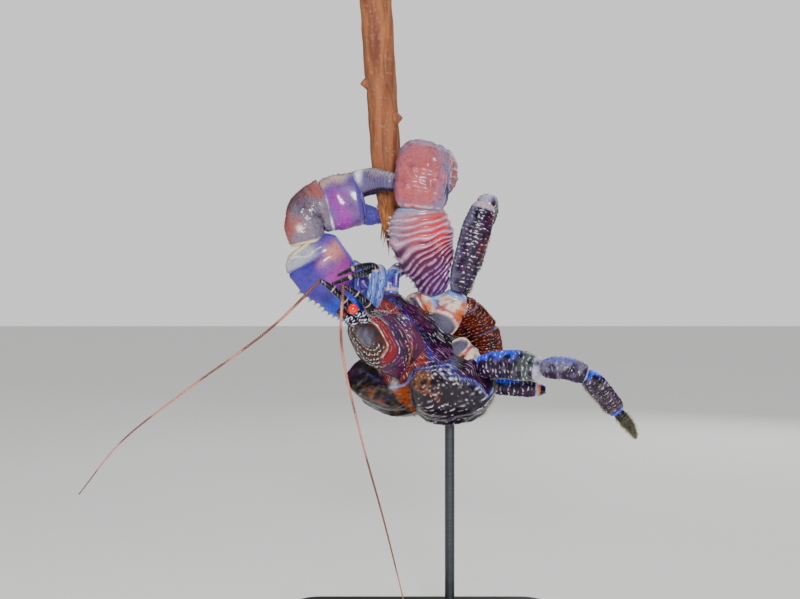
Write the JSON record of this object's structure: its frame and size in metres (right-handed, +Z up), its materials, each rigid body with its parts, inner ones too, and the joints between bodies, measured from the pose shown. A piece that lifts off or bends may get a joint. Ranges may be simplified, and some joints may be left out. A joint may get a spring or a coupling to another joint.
{
  "type": "coconut crab model",
  "caption": "Still, life-size coconut crab hanging by its closed claws from a cut branch, long feelers hanging down, on a slab and rod display stand.",
  "frame": {"origin": "middle of the underside of the display slab", "axes": "+Z up along the stand rod; the crab turns its back and head towards -Y, with its left side towards -X"},
  "size_m": [0.4844, 0.2454, 0.592],
  "materials": {
    "bark": "dry brown bark with torn fibres at the lower end",
    "stand": "satin black lacquer on the slab, dark steel rod",
    "carapace": "glossy shell, violet, red and dark brown with pale scale rims",
    "tail_plate": "red-brown shell with pale rugae",
    "joint_shell": "cream and pale grey shell with orange joint skin",
    "mouth_part": "pale blue and violet shell with tufts of bristle",
    "eye": "wet red ball",
    "feeler_stem": "near-black violet shell with pale joints",
    "feeler": "fine ringed tan and pink whip",
    "claw_shell": "pink, lilac and violet shell, ridged, with rows of short bristles",
    "leg_shell": "dark violet and blue shell with rows of pale dashes"
  },
  "bodies": {
    "root": {"perch": "bark", "stand_base": "stand", "stand_rod": "stand", "left_claw_finger": "claw_shell", "left_claw_palm": "claw_shell", "left_claw_carpus": "claw_shell", "left_claw_merus": "claw_shell", "left_claw_base": "joint_shell", "right_claw_finger": "claw_shell", "right_claw_palm": "claw_shell", "right_claw_carpus": "claw_shell", "right_claw_merus": "claw_shell", "right_claw_base": "joint_shell", "right_leg2_dactyl": "leg_shell", "right_leg2_propodus": "leg_shell", "right_leg2_carpus": "leg_shell", "right_leg2_merus": "leg_shell", "right_leg2_base": "joint_shell", "right_leg3_dactyl": "leg_shell", "right_leg3_propodus": "leg_shell", "right_leg3_carpus": "leg_shell", "right_leg3_merus": "leg_shell", "right_leg3_base": "joint_shell", "right_leg4_tip": "leg_shell", "right_leg4_carpus": "leg_shell", "right_leg4_merus": "leg_shell", "left_leg2_dactyl": "leg_shell", "left_leg2_propodus": "leg_shell", "left_leg2_carpus": "leg_shell", "left_leg2_merus": "leg_shell", "left_leg2_base": "joint_shell", "left_leg3_dactyl": "leg_shell", "left_leg3_propodus": "leg_shell", "left_leg3_carpus": "leg_shell", "left_leg3_merus": "leg_shell", "left_leg3_base": "joint_shell", "left_leg4_tip": "leg_shell", "left_leg4_carpus": "leg_shell", "left_leg4_merus": "leg_shell", "left_antenna_outer": "feeler", "left_antenna_inner": "feeler", "left_antenna_stem": "feeler_stem", "left_antennule": "feeler_stem", "right_antenna_outer": "feeler", "right_antenna_inner": "feeler", "right_antenna_stem": "feeler_stem", "right_antennule": "feeler_stem", "left_eye": "eye", "left_eye_stalk": "feeler_stem", "right_eye": "eye", "right_eye_stalk": "feeler_stem", "left_mouth_foot": "mouth_part", "right_mouth_foot": "mouth_part", "tail_tip": "tail_plate", "tail_rear": "tail_plate", "tail_middle": "tail_plate", "tail_front": "tail_plate", "head_shield": "carapace", "thorax": "carapace"}
  },
  "joints": []
}
